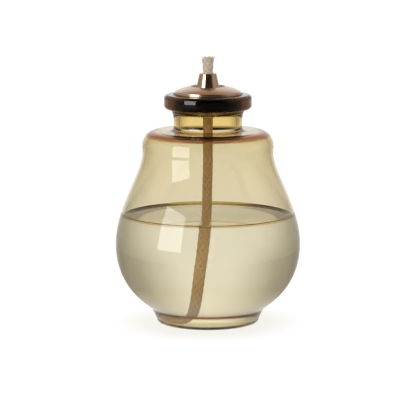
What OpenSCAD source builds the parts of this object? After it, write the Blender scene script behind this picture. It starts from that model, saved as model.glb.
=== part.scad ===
// Glass oil lamp: blown bottle, push-in burner with a turned nozzle, and a rope wick.
// Millimetres. +Z is up, the origin is the middle of the base, and the front faces -Y.

/* [Bottle] */
// Widest diameter of the globe
belly_w = 59; // [50:0.5:80]
// Height of the widest place
belly_z = 25.3; // [22:0.2:30]
// Diameter of the foot
foot_w = 33; // [28:0.2:38]
// Rounding under the foot
foot_round = 1.4; // [1:0.1:2]
// Diameter at the crease between foot and globe
crease_w = 35.8; // [30:0.2:40]
// Height of the crease
crease_z = 4.4; // [3.6:0.1:5.4]
// Slope of the globe where it leaves the crease, in degrees
crease_slope = 60; // [45:1:75]
// Diameter at the waist under the shoulder
waist_w = 41.8; // [38:0.1:46]
// Height of the waist
waist_z = 54.8; // [50:0.2:56]
// Height of the flat shoulder
shoulder_z = 61.7; // [60.5:0.1:63]
// Rounding of the shoulder's outer edge
shoulder_round = 4.4; // [2:0.1:5]
// Thickness of the glass under the flat shoulder
shoulder_t = 1.4; // [1.2:0.1:2.4]
// Rounding of the inner corner of the shoulder
corner_round = 3.4; // [2:0.1:3.8]
// Thickness of the blown wall at the waist and the foot
wall = 1.4; // [1.1:0.05:1.7]
// Thickness of the blown wall at the globe's widest place
belly_wall = 0.95; // [0.8:0.05:1.4]
// Thickness of the floor
floor_t = 0.9; // [0.8:0.1:1.1]

/* [Neck and lip] */
// Outer diameter of the neck
neck_w = 21.7; // [20:0.1:25]
// Outer diameter of the neck just under the lip
neck_top_w = 23.8; // [22:0.1:26]
// Fillet between shoulder and neck
neck_fillet = 1.4; // [0.8:0.1:2]
// Fillet between the shoulder's underside and the neck's bore
bore_fillet = 1.6; // [0.8:0.1:2]
// Bore of the neck
neck_bore = 17.8; // [16.6:0.1:19]
// Bore of the mouth, where the seal sits
mouth_bore = 21.8; // [21:0.1:22.2]
// Rounding of the mouth's inner edge
mouth_round = 0.6; // [0.3:0.1:0.8]
// Width of the ledge in the mouth that stops the seal
ledge = 1.4; // [0.6:0.1:1.6]
// Height over which the neck's bore opens out to the mouth
flare_h = 0.4; // [0.3:0.1:1]
// Diameter of the lip
lip_w = 27.9; // [26:0.1:31]
// Height of the lip's underside
lip_z = 68.6; // [67.6:0.1:70]
// Thickness of the lip
lip_t = 4.6; // [4.4:0.1:6]
// Rounding of the lip's top edge
lip_top_round = 1.2; // [0.8:0.1:2]
// Rounding of the lip's lower edge
lip_low_round = 1.2; // [0.6:0.1:1.6]

/* [Oil] */
// Height of the oil's surface
oil_z = 34.6; // [24:0.2:50]
// Gap kept between the oil and the glass and wick
oil_gap = 0.15; // [0.1:0.05:0.3]

/* [Burner] */
// Clearance round the cap's rolled rim in the mouth
cap_gap = 0.45; // [0.2:0.05:1.2]
// Height of the upright band of the rim
cap_band = 1.2; // [0.5:0.1:1.4]
// Rise of the cap above the seal
cap_rise = 3; // [2.6:0.1:4]
// Diameter of the opening of the cap's dish
dish_w = 11.3; // [10:0.1:13]
// Depth of the dish
dish_depth = 1; // [0.6:0.1:1.4]
// Thickness of the spun metal
sheet = 0.45; // [0.35:0.05:0.7]
// Diameter of the nozzle at its foot
nozzle_base_w = 7.5; // [7.2:0.1:8.8]
// Diameter of the nozzle at its mouth
nozzle_tip_w = 5.4; // [4.6:0.1:6]
// Height of the nozzle's cone
nozzle_h = 5.1; // [4:0.1:8]
// Diameter of the nozzle's shank
shank_w = 5; // [4.6:0.1:5.6]
// Length of the shank
shank_l = 7.2; // [6.8:0.1:7.8]
// Depth of the seal's top below the lip's top
seal_drop = 0.4; // [0:0.1:1]
// Height of the seal in the mouth
seal_h = 4.3; // [4:0.1:5]
// Thickness of the seal's web
seal_web = 1.7; // [1.2:0.1:2]
// Thickness of the seal's skirt
seal_skirt = 2; // [1.4:0.1:3]
// Number of ribs round the seal
seal_ribs = 3; // [2:1:4]
// Diameter of the nozzle's washer
washer_w = 9.4; // [8.6:0.1:11]
// Thickness of the washer
washer_t = 0.5; // [0.4:0.1:0.8]
// Width of the nut across its flats
nut_af = 7; // [6.6:0.1:8]
// Thickness of the nut
nut_t = 1.6; // [1.2:0.1:2]

/* [Wick] */
// Diameter of the wick
wick_d = 3.2; // [2.6:0.1:3.3]
// Length of wick standing out of the nozzle
wick_out = 5; // [3:0.2:8]

/* [Hidden] */
$fn = 96;

// Clearance of a piece that slides on another
fit_gap = 0.05;
// Clearance of the seal's ribs in the mouth
seal_gap = 0.08;
// Depth of the grooves between the ribs
rib_depth = 0.5;
// Clearance of the wick in the nozzle
wick_gap = 0.15;
// Room round the wick in the oil, whose channel bends less smoothly
channel_gap = 0.5;
// Small chamfer on turned edges
edge = 0.3;
// Reach of the curve handles that shape the globe
foot_reach = 1.7;
belly_low_reach = 14.7;
belly_high_reach = 12;
waist_reach = 7;
// Steps along a long curve, and along a small round
curve_steps = 22;
round_steps = 7;

lip_top = lip_z + lip_t;
seal_top = lip_top - seal_drop;
seat_z = seal_top - seal_h;
dish_z = seal_top + cap_rise - dish_depth;
nozzle_top = dish_z + nozzle_h;
shank_end = dish_z - shank_l;
web_top = dish_z - sheet;
web_bottom = seal_top - seal_web;
nozzle_bore = wick_d + 2 * wick_gap;
cap_w = mouth_bore - 2 * cap_gap;

// Middle line of the wick below the nozzle, from the neck down to its end on the floor
wick_route = [
    [0, 0, 60], [0, -1, 52], [-0.2, -3, 44], [-0.4, -6, 36], [-1, -9.5, 28],
    [-2.1, -12.5, 20], [-3.3, -13.5, 12], [-4.8, -12.2, 6.2], [-7.2, -9.6, 3.2],
    [-9.8, -6, 2.8], [-11.6, -1.5, 2.8]];
// Extra room at each bend of that channel
bend_gap = 0.4;
// Turn of each bore about itself, which keeps the bores' seams apart
seam_turn = 37;
// Place in the route of its last point above the oil
first_wet_point = 3;
// Rings of the wick between two points of its route, and sides of each ring
rings_per_span = 2;
wick_sides = 8;

// Cubic curve from a to d with handles b and c
function curve(a, b, c, d, n) =
    [for (i = [0:n]) let (t = i / n, s = 1 - t)
        s * s * s * a + 3 * s * s * t * b + 3 * s * t * t * c + t * t * t * d];

// Round stretch about a centre, between two angles in degrees
function round_part(centre, r, from, to, n = round_steps) =
    [for (i = [0:n]) let (t = from + (to - from) * i / n)
        centre + r * [cos(t), sin(t)]];

// Every point of a line moved sideways towards the axis, by the distance d at its own place
function inset_by(line, d) =
    [for (i = [0:len(line) - 1])
        let (along = line[min(i + 1, len(line) - 1)] - line[max(i - 1, 0)])
        line[i] + d[i] * [-along[1], along[0]] / norm(along)];

// Every point of a line moved sideways by the same distance
function inset(line, distance) = inset_by(line, [for (p = line) distance]);

// Thickness of the wall at a height: thin round the belly, thicker towards waist and foot
function wall_at(z) =
    belly_wall + (wall - belly_wall) * pow((z - belly_z) / (waist_z - belly_z), 2);

// The globe's outer line from the crease to the waist
globe_line = concat(
    curve([crease_w / 2, crease_z],
          [crease_w / 2, crease_z] + foot_reach * [cos(crease_slope), sin(crease_slope)],
          [belly_w / 2, belly_z - belly_low_reach],
          [belly_w / 2, belly_z], curve_steps),
    [for (i = [1:curve_steps])
        curve([belly_w / 2, belly_z],
              [belly_w / 2, belly_z + belly_high_reach],
              [waist_w / 2, waist_z - waist_reach],
              [waist_w / 2, waist_z], curve_steps)[i]]);

// The shoulder's round
shoulder_arc_centre = [waist_w / 2 - shoulder_round, shoulder_z - shoulder_round];
shoulder_line = round_part(shoulder_arc_centre, shoulder_round, 0, 90);

// The shoulder's flat underside and its inner corner
shoulder_under = shoulder_z - shoulder_t;
shoulder_inner = round_part([waist_w / 2 - wall - corner_round, shoulder_under - corner_round],
                            corner_round, 0, 90);

// The inner line of the bottle, from the middle of the floor to the mouth
inner_foot_r = foot_w / 2 - wall;
inner_globe = inset_by(globe_line, [for (p = globe_line) wall_at(p[1])]);
bottle_inner = concat(
    [[0, floor_t]],
    round_part([inner_foot_r - foot_round, floor_t + foot_round], foot_round, -90, -10),
    [for (p = inner_globe) if (p[1] > floor_t + foot_round) p],
    shoulder_inner,
    round_part([neck_bore / 2 + bore_fillet, shoulder_under + bore_fillet], bore_fillet, 270, 180),
    [[neck_bore / 2, seat_z - flare_h],
     [mouth_bore / 2 - ledge, seat_z],
     [mouth_bore / 2, seat_z]],
    round_part([mouth_bore / 2 + mouth_round, lip_top - mouth_round], mouth_round, 180, 90));

// The outer line of the bottle, from the lip down to the middle of the base
bottle_outer = concat(
    round_part([lip_w / 2 - lip_top_round, lip_top - lip_top_round], lip_top_round, 90, 0),
    round_part([lip_w / 2 - lip_low_round, lip_z + lip_low_round], lip_low_round, 0, -90),
    [[neck_top_w / 2, lip_z],
     [neck_w / 2 + (neck_top_w - neck_w) / 6, (lip_z + shoulder_z + neck_fillet) / 2]],
    round_part([neck_w / 2 + neck_fillet, shoulder_z + neck_fillet], neck_fillet, 180, 270),
    [for (i = [len(shoulder_line) - 1:-1:0]) shoulder_line[i]],
    [for (i = [len(globe_line) - 1:-1:0]) globe_line[i]],
    round_part([foot_w / 2 - foot_round, foot_round], foot_round, 0, -90),
    [[0, 0]]);

// Blown bottle: foot, globe, shoulder, neck and thick lip in one piece
module glass_bottle() {
    color("khaki", 0.5)
        rotate_extrude()
            polygon(concat(bottle_inner, bottle_outer));
}

// Oil up to its surface, with the channel that the wick takes up
module lamp_oil() {
    color("lightgoldenrodyellow", 0.6)
        difference() {
            rotate_extrude()
                intersection() {
                    polygon(concat(inset(bottle_inner, oil_gap), [[0, lip_top]]));
                    translate([0, floor_t + oil_gap])
                        square([belly_w, oil_z - floor_t - oil_gap]);
                }
            wick_channel(wick_d / 2 + channel_gap);
        }
}

// Straight bores and round bends along the wick's route, for the oil around it
module wick_channel(r) {
    last = len(wick_route) - 1;
    for (i = [first_wet_point:last - 1]) {
        from = wick_route[i];
        step = wick_route[i + 1] - from;
        translate(from)
            rotate([0, acos(step[2] / norm(step)), atan2(step[1], step[0])])
                rotate([0, 0, seam_turn])
                    cylinder(h = norm(step), r = r);
    }
    for (i = [first_wet_point + 1:last])
        translate(wick_route[i])
            sphere(r = r + bend_gap);
}

// Ribbed ring that plugs the mouth, with a web that the nozzle clamps
module neck_seal() {
    rib_r = mouth_bore / 2 - seal_gap;
    groove_r = rib_r - rib_depth;
    rib_t = seal_h / (2 * seal_ribs - 1);
    color([0.05, 0.05, 0.05])
        difference() {
            union() {
                translate([0, 0, seat_z])
                    cylinder(h = seal_h, r = groove_r);
                for (i = [0:seal_ribs - 1])
                    translate([0, 0, seat_z + 2 * i * rib_t])
                        cylinder(h = rib_t, r = rib_r);
                translate([0, 0, seal_top])
                    cylinder(h = web_top - seal_top, r = washer_w / 2);
            }
            translate([0, 0, seat_z - 1])
                cylinder(h = seal_h + 1 - seal_web, r = groove_r - seal_skirt);
            translate([0, 0, web_bottom - 1])
                cylinder(h = web_top - web_bottom + 2, r = shank_w / 2 + fit_gap);
        }
}

// Spun cap: rolled rim, hollow dome and a dish with the nozzle's hole
module burner_cap() {
    rim_r = cap_w / 2;
    dome_top = seal_top + cap_rise;
    dome_foot = [rim_r - edge, seal_top + cap_band + edge];
    dome_head = [dish_w / 2 + edge, dome_top];
    dome = curve(dome_foot, dome_foot + [-1.6, 0.25], dome_head + [1.4, -0.35], dome_head, 10);
    color("rosybrown")
        rotate_extrude()
            polygon(concat(
                [[rim_r - 2 * sheet, seal_top], [rim_r - edge, seal_top],
                 [rim_r, seal_top + edge], [rim_r, seal_top + cap_band]],
                dome,
                [[dish_w / 2 - edge, dome_top - edge],
                 [dish_w / 2 - 2 * edge, dish_z + edge],
                 [dish_w / 2 - 3 * edge, dish_z],
                 [shank_w / 2 + fit_gap, dish_z],
                 [shank_w / 2 + fit_gap, dish_z - sheet],
                 [dish_w / 2 - edge, dish_z - sheet],
                 [dish_w / 2 - edge + sheet, dome_top - edge - sheet]],
                [for (i = [len(dome) - 2:-1:0]) dome[i] - [sheet, sheet]],
                [[rim_r - 2 * sheet, seal_top + cap_band - edge]]));
}

// Turned nozzle: cone that seats in the dish, threaded shank and the wick's bore
module wick_nozzle() {
    color("tan")
        rotate_extrude()
            polygon([
                [nozzle_bore / 2, shank_end],
                [shank_w / 2 - edge, shank_end],
                [shank_w / 2, shank_end + edge],
                [shank_w / 2, dish_z],
                [nozzle_base_w / 2 - edge, dish_z],
                [nozzle_base_w / 2, dish_z + edge],
                [nozzle_tip_w / 2, nozzle_top - edge / 2],
                [nozzle_tip_w / 2 - edge / 2, nozzle_top],
                [nozzle_bore / 2 + edge, nozzle_top],
                [nozzle_bore / 2, nozzle_top - edge]]);
}

// Flat washer under the seal's web
module nozzle_washer() {
    color("silver")
        translate([0, 0, web_bottom - washer_t])
            difference() {
                cylinder(h = washer_t, r = washer_w / 2);
                translate([0, 0, -1])
                    cylinder(h = washer_t + 2, r = shank_w / 2 + fit_gap);
            }
}

// Hexagon nut that clamps seal and cap to the nozzle
module nozzle_nut() {
    corner_r = nut_af / 2 / cos(30);
    color("goldenrod")
        translate([0, 0, web_bottom - washer_t - nut_t])
            difference() {
                cylinder(h = nut_t, r = corner_r, $fn = 6);
                translate([0, 0, -1])
                    cylinder(h = nut_t + 2, r = shank_w / 2 + fit_gap);
            }
}

// Smooth place between points b and c of a route, at the share t
function smooth(a, b, c, d, t) =
    0.5 * (2 * b + (c - a) * t + (2 * a - 5 * b + 4 * c - d) * t * t
           + (3 * b - a - 3 * c + d) * t * t * t);

// The whole middle line, from the tip to the end, each span cut into rings
wick_points = concat([[0, 0, nozzle_top + wick_out], [0, 0, nozzle_top],
                      [0, 0, shank_end]], wick_route);
last_point = len(wick_points) - 1;
wick_line = concat(
    [for (i = [0:last_point - 1], k = [0:rings_per_span - 1])
        smooth(wick_points[max(i - 1, 0)], wick_points[i], wick_points[i + 1],
               wick_points[min(i + 2, last_point)], k / rings_per_span)],
    [wick_points[last_point]]);

// Closed tube of radius r along the wick's line
module wick_tube(r) {
    n = len(wick_line);
    rings = [for (i = [0:n - 1])
        let (step = wick_line[min(i + 1, n - 1)] - wick_line[max(i - 1, 0)],
             side = cross(step, [1, 0, 0]),
             u = side / norm(side),
             cross_u = cross(step, u),
             v = cross_u / norm(cross_u))
        [for (k = [0:wick_sides - 1])
            let (a = 360 * k / wick_sides)
            wick_line[i] + r * (cos(a) * u + sin(a) * v)]];
    points = [for (ring = rings, p = ring) p];
    sides = [for (i = [0:n - 2], k = [0:wick_sides - 1])
        let (next = (k + 1) % wick_sides)
        [i * wick_sides + k, i * wick_sides + next,
         (i + 1) * wick_sides + next, (i + 1) * wick_sides + k]];
    top = [for (k = [wick_sides - 1:-1:0]) k];
    bottom = [for (k = [0:wick_sides - 1]) (n - 1) * wick_sides + k];
    polyhedron(points, concat([top], sides, [bottom]));
}

// Braided rope wick, from its tip through the nozzle to its end on the floor
module wick() {
    color("burlywood")
        wick_tube(wick_d / 2);
}

glass_bottle();
lamp_oil();
neck_seal();
burner_cap();
wick_nozzle();
nozzle_washer();
nozzle_nut();
wick();
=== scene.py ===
from math import radians
import bpy
import numpy as np
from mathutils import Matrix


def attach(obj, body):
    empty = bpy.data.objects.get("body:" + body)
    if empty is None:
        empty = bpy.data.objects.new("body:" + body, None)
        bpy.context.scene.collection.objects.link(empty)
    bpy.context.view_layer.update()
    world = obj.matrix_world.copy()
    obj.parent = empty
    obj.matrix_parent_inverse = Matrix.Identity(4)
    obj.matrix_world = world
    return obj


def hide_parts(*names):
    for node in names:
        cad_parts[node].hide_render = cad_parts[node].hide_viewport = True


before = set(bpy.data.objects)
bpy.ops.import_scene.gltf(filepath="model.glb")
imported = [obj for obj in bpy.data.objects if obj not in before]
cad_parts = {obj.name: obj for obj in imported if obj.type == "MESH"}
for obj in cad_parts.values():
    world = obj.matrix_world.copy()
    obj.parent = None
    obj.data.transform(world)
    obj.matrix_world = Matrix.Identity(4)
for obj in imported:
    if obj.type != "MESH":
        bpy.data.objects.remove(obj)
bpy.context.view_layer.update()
scene = bpy.context.scene
scene.view_settings.view_transform = "Standard"
print("frame loaded:", len(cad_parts), "nodes")


camera = dict(distance=0.8, elevation=8.8, lens=216.7, aimX=0.00003, aimZ=0.0367)


def makeCamera():
    data = bpy.data.cameras.new("camera")
    data.lens = camera["lens"]
    data.clip_start = 0.01
    cam = bpy.data.objects.new("camera", data)
    scene.collection.objects.link(cam)
    tilt = radians(camera["elevation"])
    cam.location = (camera["aimX"], -camera["distance"] * np.cos(tilt),
                    camera["aimZ"] + camera["distance"] * np.sin(tilt))
    cam.rotation_euler = (radians(90) - tilt, 0, 0)
    scene.camera = cam


makeCamera()


def gridMesh(name, points, wrapRows=False, wrapCols=True, poles=(None, None), sharp=35):
    # points[row, column] is a grid of places; poles close its first and last row
    rows, cols = points.shape[:2]
    rowStart = np.arange(rows if wrapRows else rows - 1)[:, None]
    colStart = np.arange(cols if wrapCols else cols - 1)[None, :]
    rowNext = (rowStart + 1) % rows
    colNext = (colStart + 1) % cols
    quads = np.stack([rowStart * cols + colStart, rowStart * cols + colNext,
                      rowNext * cols + colNext, rowNext * cols + colStart], -1).reshape(-1, 4)
    places = points.reshape(-1, 3)
    fans = []
    ring = np.arange(cols)
    for pole, row, turn in ((poles[0], 0, -1), (poles[1], rows - 1, 1)):
        if pole is None:
            continue
        hub = np.full(cols, len(places))
        places = np.vstack([places, pole])
        a, b = row * cols + ring, row * cols + (ring + 1) % cols
        fans.append(np.stack([a, b, hub] if turn > 0 else [b, a, hub], -1))
    tris = np.vstack(fans) if fans else np.zeros((0, 3), int)
    return fillMesh(name, places, quads, tris, sharp)


def fillMesh(name, places, quads, tris, sharp):
    # signed volume: a shape that came out inside out is turned round
    corners = np.vstack([quads[:, [0, 1, 2]], quads[:, [0, 2, 3]], tris])
    a, b, c = (places[corners[:, i]] for i in range(3))
    if np.einsum("ij,ij->i", a, np.cross(b, c)).sum() < 0:
        quads, tris = quads[:, ::-1], tris[:, ::-1]
    mesh = bpy.data.meshes.new(name)
    mesh.vertices.add(len(places))
    mesh.vertices.foreach_set("co", places.astype(np.float32).ravel())
    mesh.loops.add(quads.size + tris.size)
    mesh.loops.foreach_set("vertex_index", np.concatenate([quads.ravel(), tris.ravel()]))
    starts = np.concatenate([np.arange(len(quads)) * 4, quads.size + np.arange(len(tris)) * 3])
    mesh.polygons.add(len(starts))
    mesh.polygons.foreach_set("loop_start", starts)
    mesh.update(calc_edges=True)
    mesh.validate()
    mesh.shade_smooth()
    mesh.set_sharp_from_angle(angle=radians(sharp))
    piece = bpy.data.objects.new(name, mesh)
    scene.collection.objects.link(piece)
    return piece


def lathe(name, line, steps=160, closed=True, sharp=35):
    # a line of (radius, height) carried round Z: x = r cos t, y = r sin t, z = h
    line = np.array(line, float)
    onAxis = line[:, 0] < 1e-9
    poles = [None, None]
    if onAxis[0]:
        poles[0], line = (0, 0, line[0, 1]), line[1:]
        closed = False
    if onAxis[-1]:
        poles[1], line = (0, 0, line[-1, 1]), line[:-1]
        closed = False
    t = np.linspace(0, 2 * np.pi, steps, endpoint=False)
    r, h = line[:, :1], line[:, 1:]
    points = np.stack([r * np.cos(t), r * np.sin(t), h + 0 * t], -1)
    return gridMesh(name, points, wrapRows=closed, poles=poles, sharp=sharp)


def curveLine(a, b, c, d, n):
    # cubic curve from a to d with handles b and c
    t = np.linspace(0, 1, n + 1)[:, None]
    s = 1 - t
    a, b, c, d = (np.array(p, float) for p in (a, b, c, d))
    return s**3 * a + 3 * s * s * t * b + 3 * s * t * t * c + t**3 * d


def roundPart(centre, r, start, end, n=10):
    t = np.radians(np.linspace(start, end, n + 1))
    return np.stack([centre[0] + r * np.cos(t), centre[1] + r * np.sin(t)], 1)


def inset(line, d):
    # every point moved sideways by d, towards the axis; d is one distance or one for each point
    along = np.vstack([line[1:2] - line[:1], line[2:] - line[:-2], line[-1:] - line[-2:-1]])
    along /= np.linalg.norm(along, axis=1)[:, None]
    return line + np.reshape(d, (-1, 1)) * np.stack([-along[:, 1], along[:, 0]], 1)


def newMaterial(name, **values):
    mat = bpy.data.materials.new(name)
    mat.use_nodes = True
    nodes = mat.node_tree.nodes
    shader = nodes["Principled BSDF"]
    for key, value in values.items():
        shader.inputs[key].default_value = value
    return mat, nodes, mat.node_tree.links, shader


def objectPlace(nodes, links, scale=(1, 1, 1)):
    place = nodes.new("ShaderNodeTexCoord")
    mapping = nodes.new("ShaderNodeMapping")
    mapping.inputs["Scale"].default_value = scale
    links.new(place.outputs["Object"], mapping.inputs["Vector"])
    return mapping.outputs["Vector"]


def noise(nodes, links, vector, scale, detail=3, roughness=0.55):
    tex = nodes.new("ShaderNodeTexNoise")
    tex.inputs["Scale"].default_value = scale
    tex.inputs["Detail"].default_value = detail
    tex.inputs["Roughness"].default_value = roughness
    links.new(vector, tex.inputs["Vector"])
    return tex.outputs["Fac"]


def ramp(nodes, links, factor, stops):
    node = nodes.new("ShaderNodeValToRGB")
    band = node.color_ramp
    while len(band.elements) < len(stops):
        band.elements.new(0.5)
    for element, (place, colour) in zip(band.elements, stops):
        element.position = place
        element.color = (*colour, 1)
    links.new(factor, node.inputs["Fac"])
    return node.outputs["Color"]


def mixed(nodes, links, factor, a, b, blend="MIX"):
    mix = nodes.new("ShaderNodeMix")
    mix.data_type = "RGBA"
    mix.blend_type = blend
    for socket, value in (("Factor", factor), ("A", a), ("B", b)):
        if isinstance(value, bpy.types.NodeSocket):
            links.new(value, mix.inputs[socket])
        else:
            mix.inputs[socket].default_value = value
    return mix.outputs["Result"]


def bump(nodes, links, shader, height, distance, strength=1.0):
    node = nodes.new("ShaderNodeBump")
    node.inputs["Distance"].default_value = distance
    node.inputs["Strength"].default_value = strength
    links.new(height, node.inputs["Height"])
    links.new(node.outputs["Normal"], shader.inputs["Normal"])


def absorb(mat, nodes, links, colour, density):
    volume = nodes.new("ShaderNodeVolumeAbsorption")
    volume.inputs["Color"].default_value = (*colour, 1)
    volume.inputs["Density"].default_value = density
    links.new(volume.outputs["Volume"], nodes["Material Output"].inputs["Volume"])


wick = dict(diameter=0.0032, length=0.095, strands=6, twistPitch=0.0021, relief=0.13,
            tipFlare=0.26, flareLength=0.005, rows=1500, sides=64,
            fibres=110, fibreLength=0.0013, fibreR=0.00006)
# the wick's middle line in metres, from the tip to its end on the floor
wickRoute = np.array([
    (0, 0, 84.9), (0, 0, 79.9), (0, 0, 67.6), (0, 0, 60), (0, -1, 52), (-0.2, -3, 44),
    (-0.4, -6, 36), (-1, -9.5, 28), (-2.1, -12.5, 20), (-3.3, -13.5, 12), (-4.8, -12.2, 6.2),
    (-7.2, -9.6, 3.2), (-9.8, -6, 2.8), (-11.6, -1.5, 2.8)]) / 1000


def smoothRoute(points, perSpan):
    # Catmull-Rom line through the points, evenly spaced along its length
    before = np.vstack([points[:1], points[:-2]])
    start, end = points[:-1], points[1:]
    after = np.vstack([points[2:], points[-1:]])
    t = (np.arange(perSpan) / perSpan)[None, :, None]
    b, s, e, a = (p[:, None, :] for p in (before, start, end, after))
    line = 0.5 * (2 * s + (e - b) * t + (2 * b - 5 * s + 4 * e - a) * t**2
                  + (3 * s - b - 3 * e + a) * t**3)
    line = np.vstack([line.reshape(-1, 3), points[-1:]])
    run = np.concatenate([[0], np.cumsum(np.linalg.norm(np.diff(line, axis=0), axis=1))])
    return line, run


def makeWick():
    line, run = smoothRoute(wickRoute, 60)
    length = run[-1]
    s = np.linspace(0, length, wick["rows"])
    middle = np.stack([np.interp(s, run, line[:, i]) for i in range(3)], 1)
    along = np.gradient(middle, axis=0)
    along /= np.linalg.norm(along, axis=1)[:, None]
    u = np.cross(along, (1, 0, 0))
    u /= np.linalg.norm(u, axis=1)[:, None]
    v = np.cross(along, u)
    angle = np.linspace(0, 2 * np.pi, wick["sides"], endpoint=False)[None, :]
    s = s[:, None]
    # two families of strands cross; each one is a round crown that goes over, then under
    a = wick["strands"] * angle / 2 + np.pi * s / wick["twistPitch"]
    b = wick["strands"] * angle / 2 - np.pi * s / wick["twistPitch"]
    i, j = np.round(a / np.pi), np.round(b / np.pi)
    crownA = np.sqrt(np.clip(1 - ((a / np.pi - i) / 0.5) ** 2, 0, 1))
    crownB = np.sqrt(np.clip(1 - ((b / np.pi - j) / 0.5) ** 2, 0, 1))
    overA = crownA * (0.72 + 0.28 * np.cos(b + i * np.pi))
    overB = crownB * (0.72 - 0.28 * np.cos(a + j * np.pi))
    height = np.maximum(overA, overB)
    plies = 0.08 * np.sin(9 * a - 5 * b) * (overA > overB) + 0.08 * np.sin(9 * b - 5 * a) * (overB >= overA)
    rng = np.random.default_rng(7)
    coarse = rng.normal(0, 1, (90, 12))
    loose = np.clip(1 - s / wick["flareLength"], 0, 1)
    wobble = np.array([np.interp(s[:, 0] * 900, np.arange(90), coarse[:, k]) for k in range(12)]).T
    wobble = wobble[:, (np.arange(wick["sides"]) * 12 // wick["sides"])]
    flare = 1 + wick["tipFlare"] * loose**1.5
    radius = wick["diameter"] / 2 * flare * (
        1 - wick["relief"] + wick["relief"] * (height + plies) + 0.05 * loose * wobble)
    ends = np.minimum(s, length - s)
    radius = radius * np.sqrt(np.clip(1 - (1 - np.clip(ends / 0.0008, 0, 1)) ** 2, 0.04, 1))
    points = (middle[:, None, :] + radius[..., None] *
              (np.cos(angle)[..., None] * u[:, None, :] + np.sin(angle)[..., None] * v[:, None, :]))
    piece = gridMesh("wick_rope", points, poles=(middle[0], middle[-1]), sharp=180)
    shade = piece.data.attributes.new("strandHeight", "FLOAT", "POINT")
    shade.data.foreach_set("value", np.append(height.ravel(), (0.5, 0.5)).astype(np.float32))
    print("wick made, length", round(length, 4))
    return piece, middle


def makeFibres():
    # frayed cotton at the tip: thin tubes that start inside the rope's end and curl outwards
    # place = root + run * (out * spread + up) + curl * run^2, each one closed by a pole at both ends
    d = wick
    rng = np.random.default_rng(11)
    count, rings, sides = d["fibres"], 6, 5
    turn = rng.uniform(0, 2 * np.pi, count)
    depth = rng.uniform(0, 1, count) ** 1.6
    radius = d["diameter"] / 2 * (1 + d["tipFlare"]) * np.sqrt(rng.uniform(0.02, 0.8, count))
    out = np.stack([np.cos(turn), np.sin(turn), 0 * turn], -1)
    root = out * radius[:, None] + (0, 0, wickRoute[0, 2] - 0.0004)
    root[:, 2] -= depth * 0.0022 * (radius > d["diameter"] * 0.42)
    reach = d["fibreLength"] * rng.uniform(0.5, 1.0, count)
    curl = rng.normal(0, 0.35, (count, 3))
    run = np.linspace(0, 1, rings)[None, :, None]
    lean = out * rng.uniform(0.1, 0.7, count)[:, None] + (0, 0, 0.75)
    path = root[:, None, :] + reach[:, None, None] * (run * lean[:, None, :] + run**2 * curl[:, None, :])
    path[..., 2] = np.minimum(path[..., 2], wickRoute[0, 2] + 0.0004)
    along = np.gradient(path, axis=1)
    along /= np.linalg.norm(along, axis=2)[..., None] + 1e-12
    side = np.cross(along, (0.31, 0.62, 0.72))
    side /= np.linalg.norm(side, axis=2)[..., None]
    other = np.cross(along, side)
    a = np.linspace(0, 2 * np.pi, sides, endpoint=False)[:, None]
    thick = (d["fibreR"] * np.linspace(1, 0.35, rings))[None, :, None, None]
    points = path[:, :, None] + thick * (np.cos(a) * side[:, :, None] + np.sin(a) * other[:, :, None])
    index = np.arange(count * rings * sides).reshape(count, rings, sides)
    turned = np.roll(index, -1, axis=2)
    quads = np.stack([index[:, :-1], turned[:, :-1], turned[:, 1:], index[:, 1:]], -1).reshape(-1, 4)
    head = np.repeat(index.size + np.arange(count)[:, None], sides, axis=1)
    tris = np.concatenate([
        np.stack([turned[:, 0], index[:, 0], head], -1).reshape(-1, 3),
        np.stack([index[:, -1], turned[:, -1], head + count], -1).reshape(-1, 3)])
    places = np.concatenate([points.reshape(-1, 3), path[:, 0], path[:, -1]])
    return fillMesh("wick_fibres", places, quads, tris, 180)


wickPiece, wickMiddle = makeWick()
fibrePiece = makeFibres()
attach(fibrePiece, "wick")
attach(wickPiece, "wick")
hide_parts("wick")


bottle = dict(
    bellyR=0.0295, bellyZ=0.0253, footR=0.0165, footRound=0.0014, creaseR=0.0179, creaseZ=0.0044,
    creaseSlope=60, waistR=0.0209, waistZ=0.0548, shoulderZ=0.0617, shoulderRound=0.0044,
    shoulderThick=0.0014, cornerRound=0.0034, boreFillet=0.0016, wall=0.0014, bellyWall=0.00095,
    floor=0.0009, tintTop=0.075,
    neckR=0.01085, neckTopR=0.0119, neckFillet=0.0014, neckBoreR=0.0089, flare=0.0004,
    mouthR=0.0109, mouthRound=0.0006, ledge=0.0014, seatZ=0.0685,
    lipR=0.01395, lipZ=0.0686, lipThick=0.0046, lipTopRound=0.0012, lipLowRound=0.0012,
    footReach=0.0017, bellyLow=0.0147, bellyHigh=0.012, waistReach=0.007, steps=60)


def globeLine():
    d = bottle
    crease = np.array((d["creaseR"], d["creaseZ"]))
    slope = radians(d["creaseSlope"])
    belly = np.array((d["bellyR"], d["bellyZ"]))
    waist = np.array((d["waistR"], d["waistZ"]))
    low = curveLine(crease, crease + d["footReach"] * np.array((np.cos(slope), np.sin(slope))),
                    belly - (0, d["bellyLow"]), belly, d["steps"])
    high = curveLine(belly, belly + (0, d["bellyHigh"]), waist - (0, d["waistReach"]), waist, d["steps"])
    return np.vstack([low, high[1:]])


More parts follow.
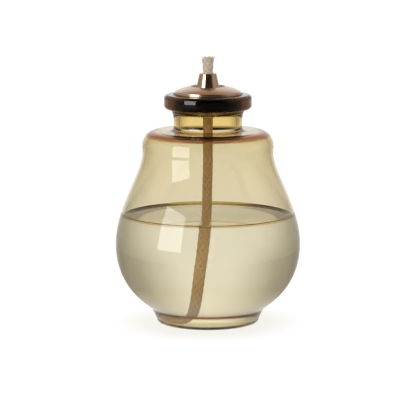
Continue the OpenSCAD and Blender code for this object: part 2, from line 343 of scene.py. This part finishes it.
def bottleInner():
    d = bottle
    line = globeLine()
    # blown wall: thinnest at the belly, and thicker by the square of the height above or below it
    away = (line[:, 1] - d["bellyZ"]) / (d["waistZ"] - d["bellyZ"])
    wallLine = inset(line, d["bellyWall"] + (d["wall"] - d["bellyWall"]) * away**2)
    wallLine = wallLine[wallLine[:, 1] > d["floor"] + d["footRound"]]
    innerFoot = d["footR"] - d["wall"] - d["footRound"]
    bore, fillet, under = d["neckBoreR"], d["boreFillet"], d["shoulderZ"] - d["shoulderThick"]
    corner, lipTop = d["cornerRound"], d["lipZ"] + d["lipThick"]
    return np.vstack([
        [(0, d["floor"])],
        roundPart((innerFoot, d["floor"] + d["footRound"]), d["footRound"], -90, -10, 8),
        wallLine,
        roundPart((d["waistR"] - d["wall"] - corner, under - corner), corner, 0, 90, 12),
        roundPart((bore + fillet, under + fillet), fillet, 270, 180, 8),
        [(bore, d["seatZ"] - d["flare"]), (d["mouthR"] - d["ledge"], d["seatZ"]),
         (d["mouthR"], d["seatZ"])],
        roundPart((d["mouthR"] + d["mouthRound"], lipTop - d["mouthRound"]), d["mouthRound"], 180, 90, 8)])


def bottleOuter():
    d = bottle
    lipTop = d["lipZ"] + d["lipThick"]
    shoulder = (d["waistR"] - d["shoulderRound"], d["shoulderZ"] - d["shoulderRound"])
    neckLow = (d["neckR"], d["shoulderZ"] + d["neckFillet"])
    neckHigh = (d["neckTopR"], d["lipZ"])
    return np.vstack([
        roundPart((d["lipR"] - d["lipTopRound"], lipTop - d["lipTopRound"]), d["lipTopRound"], 90, 0),
        roundPart((d["lipR"] - d["lipLowRound"], d["lipZ"] + d["lipLowRound"]), d["lipLowRound"], 0, -90),
        curveLine(neckHigh, (neckHigh[0] - 0.0008, neckHigh[1] - 0.0016),
                  (neckLow[0], neckLow[1] + 0.003), neckLow, 8)[:-1],
        roundPart((d["neckR"] + d["neckFillet"], d["shoulderZ"] + d["neckFillet"]),
                  d["neckFillet"], 180, 270, 8),
        roundPart(shoulder, d["shoulderRound"], 90, 0, 14)[:-1],
        globeLine()[::-1],
        roundPart((d["footR"] - d["footRound"], d["footRound"]), d["footRound"], 0, -90, 10),
        [(0, 0)]])


def glassMaterial():
    mat, nodes, links, shader = newMaterial("amberGlass", **{
        "Roughness": 0.0, "IOR": 1.5, "Transmission Weight": 1.0})
    place = objectPlace(nodes, links)
    # the tint clouds a little and goes by height in metres: clear up to the oil's surface, faint above it
    # and pale on the neck; the band at the crease, the brown at the shoulder's edge and the dark at the lip
    # are painted shade
    split = nodes.new("ShaderNodeSeparateXYZ")
    links.new(place, split.inputs["Vector"])
    height = nodes.new("ShaderNodeMapRange")
    height.inputs["From Max"].default_value = bottle["tintTop"]
    links.new(split.outputs["Z"], height.inputs["Value"])
    clear, crease, air = (1.0, 1.0, 1.0), (0.62, 0.42, 0.22), (0.92, 0.905, 0.87)
    tintAndShadeStops = [
        (0.0036, clear), (0.0042, crease), (0.0048, crease), (0.0054, clear), (0.0336, clear),
        (0.0363, air), (0.057, (0.92, 0.915, 0.87)), (0.06, (0.9, 0.86, 0.8)),
        (0.060375, (0.44, 0.2, 0.13)), (0.0615, (0.4, 0.15, 0.08)), (0.0617625, (1.0, 0.95, 0.8)),
        (0.0687, (1.0, 0.95, 0.74)), (0.069225, (0.18, 0.085, 0.09))]
    tintAndPaintedShade = ramp(nodes, links, height.outputs["Result"], [(z / bottle["tintTop"], tint) for z, tint in tintAndShadeStops])
    cloud = ramp(nodes, links, noise(nodes, links, place, 60, 2), [
        (0.3, (1.0, 1.0, 1.0)), (0.7, (0.985, 0.98, 0.965))])
    links.new(mixed(nodes, links, 1.0, tintAndPaintedShade, cloud, "MULTIPLY"), shader.inputs["Base Color"])
    bump(nodes, links, shader, noise(nodes, links, place, 45, 1), 0.00008)
    absorb(mat, nodes, links, (0.88, 0.71, 0.07), 215)
    return mat


glassPiece = lathe("bottle_glass", np.vstack([bottleInner(), bottleOuter()]), steps=192)
glassPiece.data.materials.append(glassMaterial())
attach(glassPiece, "bottle")
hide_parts("glass_bottle")
print("bottle made")


oil = dict(top=0.0346, overlap=0.00004, meniscus=0.0006, reach=0.0015)


def oilLine():
    # the bottle's inner line up to the oil, then the surface, which climbs a little at the glass
    wall = bottleInner()
    wall = inset(wall, -oil["overlap"])
    wall[0, 0] = 0
    brim = oil["top"] + oil["meniscus"]
    wall = wall[: np.argmax(wall[:, 1] > brim)]
    edgeR = np.interp(brim, bottleInner()[12:90, 1], bottleInner()[12:90, 0]) + oil["overlap"]
    t = np.linspace(0, 1, 14)
    dip = np.stack([edgeR - oil["reach"] * t, oil["top"] + oil["meniscus"] * (1 - t) ** 3], 1)
    flat = np.linspace(edgeR - oil["reach"], 0, 12)[1:]
    return np.vstack([wall, dip, np.stack([flat, 0 * flat + oil["top"]], 1)])


def oilMaterial():
    mat, nodes, links, shader = newMaterial("lampOil", **{
        "Roughness": 0.0, "IOR": 1.38, "Transmission Weight": 1.0})
    place = objectPlace(nodes, links)
    # painted shade: the surface is deeper in colour than the rest, and most of all where it climbs the glass
    split = nodes.new("ShaderNodeSeparateXYZ")
    links.new(place, split.inputs["Vector"])
    surface = nodes.new("ShaderNodeMapRange")
    surface.inputs["From Min"].default_value = oil["top"] - 0.0002
    surface.inputs["From Max"].default_value = oil["top"] - 0.0001
    links.new(split.outputs["Z"], surface.inputs["Value"])
    fromAxis = nodes.new("ShaderNodeVectorMath")
    fromAxis.operation = "LENGTH"
    links.new(objectPlace(nodes, links, (1, 1, 0)), fromAxis.inputs[0])
    out = nodes.new("ShaderNodeMapRange")
    out.inputs["From Min"].default_value = 0.012
    out.inputs["From Max"].default_value = 0.0275
    links.new(fromAxis.outputs["Value"], out.inputs["Value"])
    meniscusShade = ramp(nodes, links, out.outputs["Result"], [
        (0.0, (0.84, 0.81, 0.74)), (0.55, (0.84, 0.76, 0.6)), (0.85, (0.72, 0.56, 0.28)),
        (1.0, (0.6, 0.4, 0.12))])
    cloud = ramp(nodes, links, noise(nodes, links, place, 25, 2), [
        (0.3, (1.0, 1.0, 0.99)), (0.7, (0.98, 0.98, 0.96))])
    links.new(mixed(nodes, links, surface.outputs["Result"], cloud, meniscusShade), shader.inputs["Base Color"])
    absorb(mat, nodes, links, (0.95, 0.94, 0.9), 4)
    return mat


oilPiece = lathe("oil_fill", oilLine(), steps=192)
oilPiece.data.materials.append(oilMaterial())
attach(oilPiece, "bottle")
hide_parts("lamp_oil")
print("oil made")


burner = dict(
    seat=0.0728, capR=0.01045, band=0.0012, rise=0.003, dishR=0.00565, dishDepth=0.001, sheet=0.00045,
    nozzleBaseR=0.00375, nozzleTipR=0.00272, nozzleH=0.0051, shankR=0.0025, shankL=0.0072,
    boreR=0.00175, sealH=0.0043, sealWeb=0.0017, sealSkirt=0.002, sealR=0.01082, ribDepth=0.0005,
    ribs=3, washerR=0.0047, washerT=0.0005, nutFlats=0.007, nutT=0.0016, threadPitch=0.0005,
    threadDepth=0.00022,
    edge=0.0003, fit=0.00005)


def capLine():
    d = burner
    e, sheet, seat = d["edge"], d["sheet"], d["seat"]
    top, dish = seat + d["rise"], seat + d["rise"] - d["dishDepth"]
    foot, head = np.array((d["capR"] - e, seat + d["band"] + e)), np.array((d["dishR"] + e, top))
    dome = curveLine(foot, foot + (-0.0009, 0.0006), head + (0.0016, -0.00042), head, 16)
    lipRound = roundPart((d["capR"] - 0.00025, seat + 0.00025), 0.00025, -90, 0, 5)
    bandRound = roundPart((d["capR"] - e, seat + d["band"]), e, 0, 80, 5)
    roll = curveLine(head, head + (-0.0003, 0.0001), (d["dishR"] - e, top), (d["dishR"] - e, top - e), 6)
    hole = d["shankR"] + d["fit"]
    return np.vstack([
        [(d["capR"] - 2 * sheet, seat)], lipRound, bandRound, dome[1:], roll[1:],
        curveLine((d["dishR"] - e, top - e), (d["dishR"] - 1.6 * e, dish + 1.6 * e),
                  (d["dishR"] - 2 * e, dish), (d["dishR"] - 3.4 * e, dish), 6)[1:],
        [(hole, dish), (hole, dish - sheet), (d["dishR"] - e, dish - sheet),
         (d["dishR"] - e + sheet, top - e - sheet)],
        dome[::-1][1:-1] - sheet,
        [(d["capR"] - 2 * sheet, seat + d["band"] - e)]])


def nozzlePoints():
    # a closed line carried round Z; on the shank the radius drops by a ridge whose phase is z / pitch - t
    d = burner
    e = d["edge"]
    dish = d["seat"] + d["rise"] - d["dishDepth"]
    top, end = dish + d["nozzleH"], dish - d["shankL"]
    shank = np.stack([np.full(110, d["shankR"]), np.linspace(end + e, dish, 110)], 1)
    line = np.vstack([
        [(d["boreR"], end), (d["shankR"] - e, end)], shank,
        [(d["nozzleBaseR"] - e, dish), (d["nozzleBaseR"], dish + e)],
        roundPart((d["nozzleTipR"] - 0.0002, top - 0.0002), 0.0002, 10, 90, 5),
        roundPart((d["boreR"] + e, top - e), e, 90, 180, 5)])
    t = np.linspace(0, 2 * np.pi, 96, endpoint=False)
    r, h = line[:, :1] + 0 * t, line[:, 1:] + 0 * t
    turns = h / d["threadPitch"] - t / (2 * np.pi)
    ridge = np.abs((turns % 1) * 2 - 1) * d["threadDepth"]
    threaded = np.clip((h - end - e) / 0.0003, 0, 1) * np.clip((dish - 0.0005 - h) / 0.0003, 0, 1)
    onShank = np.abs(line[:, :1] - d["shankR"]) < 1e-9
    r = r - ridge * threaded * onShank
    return np.stack([r * np.cos(t), r * np.sin(t), h], -1)


def sealLine():
    d = burner
    top = d["seat"]
    ribT = d["sealH"] / (2 * d["ribs"] - 1)
    web = top + d["rise"] - d["dishDepth"] - d["sheet"]
    groove = d["sealR"] - d["ribDepth"]
    soft = 0.00018
    outside = []
    for k in range(d["ribs"]):
        low = top - d["sealH"] + 2 * k * ribT
        outside += [roundPart((d["sealR"] - soft, low + soft), soft, -90, 0, 4),
                    roundPart((d["sealR"] - soft, low + ribT - soft), soft, 0, 90, 4)]
        if k < d["ribs"] - 1:
            outside += [np.array([(groove, low + ribT), (groove, low + 2 * ribT)])]
    hole, skirt = d["shankR"] + d["fit"], groove - d["sealSkirt"]
    return np.vstack(outside + [
        [(d["washerR"], top), (d["washerR"], web), (hole, web), (hole, top - d["sealWeb"]),
         (skirt, top - d["sealWeb"]), (skirt, top - d["sealH"])]])


def metalMaterial(name, dark, light, roughness, ringScale, ringDepth):
    # turned or spun metal: fine rings about Z, and a slow change of tone
    mat, nodes, links, shader = newMaterial(name, Metallic=1.0, Roughness=roughness)
    place = objectPlace(nodes, links)
    tone = noise(nodes, links, place, 160, 4)
    links.new(ramp(nodes, links, tone, [(0.3, dark), (0.7, light)]), shader.inputs["Base Color"])
    rings = nodes.new("ShaderNodeTexWave")
    rings.wave_type = "RINGS"
    rings.rings_direction = "Z"
    rings.inputs["Scale"].default_value = ringScale
    rings.inputs["Distortion"].default_value = 0.6
    rings.inputs["Detail"].default_value = 2
    links.new(place, rings.inputs["Vector"])
    bump(nodes, links, shader, rings.outputs["Fac"], ringDepth)
    rough = nodes.new("ShaderNodeMapRange")
    rough.inputs["To Min"].default_value = roughness * 0.8
    rough.inputs["To Max"].default_value = roughness * 1.25
    links.new(noise(nodes, links, place, 420, 3), rough.inputs["Value"])
    links.new(rough.outputs["Result"], shader.inputs["Roughness"])
    return mat


def rubberMaterial():
    mat, nodes, links, shader = newMaterial("blackSilicone", Roughness=0.4)
    place = objectPlace(nodes, links)
    tone = noise(nodes, links, place, 300, 4)
    links.new(ramp(nodes, links, tone, [(0.3, (0.003, 0.003, 0.003)), (0.7, (0.007, 0.006, 0.006))]),
              shader.inputs["Base Color"])
    bump(nodes, links, shader, noise(nodes, links, place, 1500, 2), 0.00003)
    return mat


def nutPoints():
    # a hexagon outline carried up the nut, pulled in to a circle at both chamfers, then down the bore
    d = burner
    t = np.linspace(0, 2 * np.pi, 120, endpoint=False)
    turn = (t + np.pi / 6) % (np.pi / 3) - np.pi / 6
    hexagon = d["nutFlats"] / 2 / np.cos(turn)
    web = d["seat"] - d["sealWeb"] - d["washerT"]
    bore = d["shankR"] + d["fit"]
    face = d["nutFlats"] / 2 * 0.98
    end, side = np.minimum(hexagon, face), np.minimum(hexagon, face * 1.16)
    rows = [(bore + 0.0002 + 0 * t, 0), (end, 0), (side, 0.0003), (side, d["nutT"] - 0.0003),
            (end, d["nutT"]), (bore + 0.0002 + 0 * t, d["nutT"]),
            (bore + 0 * t, d["nutT"] - 0.0002), (bore + 0 * t, 0.0002)]
    base = web - d["nutT"]
    return np.stack([np.stack([r * np.cos(t), r * np.sin(t), base + h + 0 * t], -1) for r, h in rows])


def place(piece, mat, node, slot):
    piece.data.materials.append(mat)
    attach(piece, "burner")
    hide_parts(node)


place(lathe("seal_plug", sealLine(), sharp=50), rubberMaterial(), "neck_seal", "black_silicone")
place(lathe("cap_spun", capLine(), sharp=60),
      metalMaterial("roseMetal", (0.64, 0.46, 0.34), (0.76, 0.58, 0.45), 0.22, 900, 0.000006),
      "burner_cap", "rose_brass")
place(gridMesh("nozzle_turned", nozzlePoints(), wrapRows=True, sharp=40),
      metalMaterial("nozzleMetal", (0.62, 0.47, 0.35), (0.72, 0.57, 0.44), 0.12, 1400, 0.000003),
      "wick_nozzle", "nozzle_metal")
washerZ = burner["seat"] - burner["sealWeb"] - burner["washerT"]
washerLine = np.vstack([
    [(burner["shankR"] + burner["fit"], washerZ)],
    roundPart((burner["washerR"] - 0.0001, washerZ + 0.0001), 0.0001, -90, 0, 3),
    roundPart((burner["washerR"] - 0.0001, washerZ + burner["washerT"] - 0.0001), 0.0001, 0, 90, 3),
    [(burner["shankR"] + burner["fit"], washerZ + burner["washerT"])]])
place(lathe("washer_flat", washerLine), metalMaterial(
    "washerSteel", (0.5, 0.5, 0.5), (0.6, 0.6, 0.59), 0.3, 900, 0.000005), "nozzle_washer", "washer_steel")
place(gridMesh("nut_hexagon", nutPoints(), wrapRows=True, sharp=25), metalMaterial(
    "nutBrass", (0.55, 0.4, 0.18), (0.65, 0.5, 0.25), 0.25, 900, 0.000005), "nozzle_nut", "nut_brass")
print("burner made")


def fibreMaterial():
    mat, nodes, links, shader = newMaterial("looseCotton", Roughness=0.85)
    tone = noise(nodes, links, objectPlace(nodes, links), 2600, 3)
    links.new(ramp(nodes, links, tone, [(0.3, (0.34, 0.27, 0.20)), (0.7, (0.60, 0.52, 0.42))]),
              shader.inputs["Base Color"])
    return mat


def wickMaterial():
    mat, nodes, links, shader = newMaterial("wickCotton", Roughness=0.85)
    place = objectPlace(nodes, links)
    split = nodes.new("ShaderNodeSeparateXYZ")
    links.new(place, split.inputs["Vector"])
    soaked = nodes.new("ShaderNodeMapRange")
    soaked.inputs["From Min"].default_value = 0.0806
    soaked.inputs["From Max"].default_value = 0.0794
    links.new(split.outputs["Z"], soaked.inputs["Value"])
    fibre = noise(nodes, links, place, 1800, 4)
    dry = ramp(nodes, links, fibre, [(0.25, (0.28, 0.22, 0.165)), (0.75, (0.46, 0.39, 0.31))])
    wet = ramp(nodes, links, fibre, [(0.25, (0.44, 0.29, 0.16)), (0.75, (0.68, 0.48, 0.30))])
    # painted light: under the oil the wick is lighter than the wet part above it
    sunkPaintedLight = ramp(nodes, links, fibre, [(0.25, (0.62, 0.42, 0.22)), (0.75, (0.92, 0.66, 0.42))])
    under = nodes.new("ShaderNodeMapRange")
    under.inputs["From Min"].default_value = oil["top"] + 0.001
    under.inputs["From Max"].default_value = oil["top"] - 0.001
    links.new(split.outputs["Z"], under.inputs["Value"])
    tone = mixed(nodes, links, soaked.outputs["Result"], dry, wet)
    tone = mixed(nodes, links, under.outputs["Result"], tone, sunkPaintedLight)
    grooves = nodes.new("ShaderNodeAttribute")
    grooves.attribute_name = "strandHeight"
    shade = ramp(nodes, links, grooves.outputs["Fac"], [(0.15, (0.7, 0.67, 0.64)), (0.8, (1.0, 1.0, 1.0))])
    links.new(mixed(nodes, links, 1.0, tone, shade, "MULTIPLY"), shader.inputs["Base Color"])
    bump(nodes, links, shader, fibre, 0.00008)
    return mat


wickPiece.data.materials.append(wickMaterial())
fibrePiece.data.materials.append(fibreMaterial())


studio = dict(floor=1.6, softboxWide=0.42, softboxTall=0.66, softboxAway=0.75, softboxSide=48,
              softboxHeight=0.15, softboxWatts=4.2, fill=1.15, floorGloss=0.25, floorShare=0.93,
              spotInner=0.02, spotOuter=0.034)


def above(nodes, links, value, limit):
    step = nodes.new("ShaderNodeMath")
    step.operation = "GREATER_THAN"
    step.inputs[1].default_value = limit
    links.new(value, step.inputs[0])
    return step.outputs["Value"]


def studioLevel(nodes, links, direction, ground=1.0, share=1.0):
    # brightness of the studio in a direction: a lit backdrop behind the lamp with grey flags beside it,
    # a dark room in front that only reflections show, and an even fill for matt surfaces. It depends on
    # the kind of ray too: ground dims the sides in reflections, share dims what is seen through glass
    split = nodes.new("ShaderNodeSeparateXYZ")
    links.new(direction, split.inputs["Vector"])
    # how far the direction faces the backdrop, which is taller than it is wide
    flatter = nodes.new("ShaderNodeVectorMath")
    flatter.operation = "MULTIPLY"
    flatter.inputs[1].default_value = (1, 1, 0.5)
    links.new(direction, flatter.inputs[0])
    flat = nodes.new("ShaderNodeVectorMath")
    flat.operation = "NORMALIZE"
    links.new(flatter.outputs["Vector"], flat.inputs[0])
    flatSplit = nodes.new("ShaderNodeSeparateXYZ")
    links.new(flat.outputs["Vector"], flatSplit.inputs["Vector"])
    facing = nodes.new("ShaderNodeMapRange")
    facing.inputs["From Min"].default_value = -1
    links.new(flatSplit.outputs["Y"], facing.inputs["Value"])
    through = ramp(nodes, links, facing.outputs["Result"], [
        (0.0, (0.76, 0.75, 0.73)), (0.5, (0.72, 0.71, 0.68)), (0.62, (0.52, 0.51, 0.48)),
        (0.72, (0.36, 0.35, 0.32)), (0.81, (0.34, 0.33, 0.30)), (0.895, (0.43, 0.42, 0.39)),
        (0.933, (0.52, 0.51, 0.48)), (0.96, (0.66, 0.65, 0.63)), (0.98, (0.83, 0.82, 0.80)),
        (0.996, (1.02, 1.02, 1.03))])
    side = 0.45 * ground
    gloss = ramp(nodes, links, facing.outputs["Result"], [
        (0.0, (0.03, 0.02, 0.015)), (0.15, (0.04, 0.028, 0.02)), (0.32, (side, side * 0.88, side * 0.8)),
        (0.6, (0.42, 0.36, 0.32)), (0.8, (0.36, 0.31, 0.27)), (0.93, (0.55, 0.52, 0.5)),
        (1.0, (1.0, 1.0, 1.0))])
    overhead = ramp(nodes, links, split.outputs["Z"], [
        (0.45, (1.0, 1.0, 1.0)), (0.85, (0.82, 0.62, 0.48))])
    path = nodes.new("ShaderNodeLightPath")
    through = mixed(nodes, links, 1.0, through, (share, share, share, 1), "MULTIPLY")
    fill = studio["fill"]
    level = mixed(nodes, links, above(nodes, links, path.outputs["Glossy Depth"], 0.5), through, gloss)
    level = mixed(nodes, links, 1.0, level, overhead, "MULTIPLY")
    level = mixed(nodes, links, above(nodes, links, path.outputs["Diffuse Depth"], 0.5),
                  level, (fill, fill, fill * 0.97, 1))
    return mixed(nodes, links, path.outputs["Is Camera Ray"], level, (1, 1, 1, 1))


def makeFloor():
    mesh = bpy.data.meshes.new("floor")
    f = studio["floor"]
    mesh.from_pydata([(-f, -f, 0), (f, -f, 0), (f, f, 0), (-f, f, 0)], [], [(0, 1, 2, 3)])
    floor = bpy.data.objects.new("floor", mesh)
    scene.collection.objects.link(floor)
    mat, nodes, links, shader = newMaterial("paleFloor", Roughness=0.8)
    shader.inputs["Base Color"].default_value = (0.04, 0.04, 0.04, 1)
    shader.inputs["Emission Strength"].default_value = 0.97
    # each place on the floor takes its brightness from the studio in its direction from the lamp's
    # middle, dimmed in reflections and through glass
    fromLamp = nodes.new("ShaderNodeVectorMath")
    fromLamp.operation = "SUBTRACT"
    fromLamp.inputs[1].default_value = (0, 0, 0.03)
    links.new(objectPlace(nodes, links), fromLamp.inputs[0])
    direction = nodes.new("ShaderNodeVectorMath")
    direction.operation = "NORMALIZE"
    links.new(fromLamp.outputs["Vector"], direction.inputs[0])
    level = studioLevel(nodes, links, direction.outputs["Vector"], ground=studio["floorGloss"],
                        share=studio["floorShare"])
    # a painted pool of light: the light that the lamp gathers, painted on the paper right under the foot
    length = nodes.new("ShaderNodeVectorMath")
    length.operation = "LENGTH"
    links.new(objectPlace(nodes, links), length.inputs[0])
    paintedLightPool = nodes.new("ShaderNodeMapRange")
    paintedLightPool.inputs["From Min"].default_value = studio["spotOuter"]
    paintedLightPool.inputs["From Max"].default_value = studio["spotInner"]
    links.new(length.outputs["Value"], paintedLightPool.inputs["Value"])
    level = mixed(nodes, links, paintedLightPool.outputs["Result"], level, (0.9, 0.88, 0.84, 1))
    links.new(level, shader.inputs["Emission Color"])
    floor.data.materials.append(mat)
    floor.location.z = -0.0002


def makeLights():
    data = bpy.data.lights.new("softbox", "AREA")
    data.shape = "RECTANGLE"
    data.size = studio["softboxWide"]
    data.size_y = studio["softboxTall"]
    data.energy = studio["softboxWatts"]
    light = bpy.data.objects.new("softbox", data)
    scene.collection.objects.link(light)
    light.visible_transmission = False
    turn = radians(studio["softboxSide"])
    away = studio["softboxAway"]
    light.location = (-away * np.sin(turn), -away * np.cos(turn), studio["softboxHeight"])
    light.rotation_euler = (radians(90), 0, -turn)


def makeWorld():
    world = bpy.data.worlds.new("studio")
    scene.world = world
    world.use_nodes = True
    nodes, links = world.node_tree.nodes, world.node_tree.links
    place = nodes.new("ShaderNodeTexCoord")
    level = studioLevel(nodes, links, place.outputs["Generated"])
    links.new(level, nodes["Background"].inputs["Color"])


makeFloor()
makeLights()
makeWorld()
print("studio made")
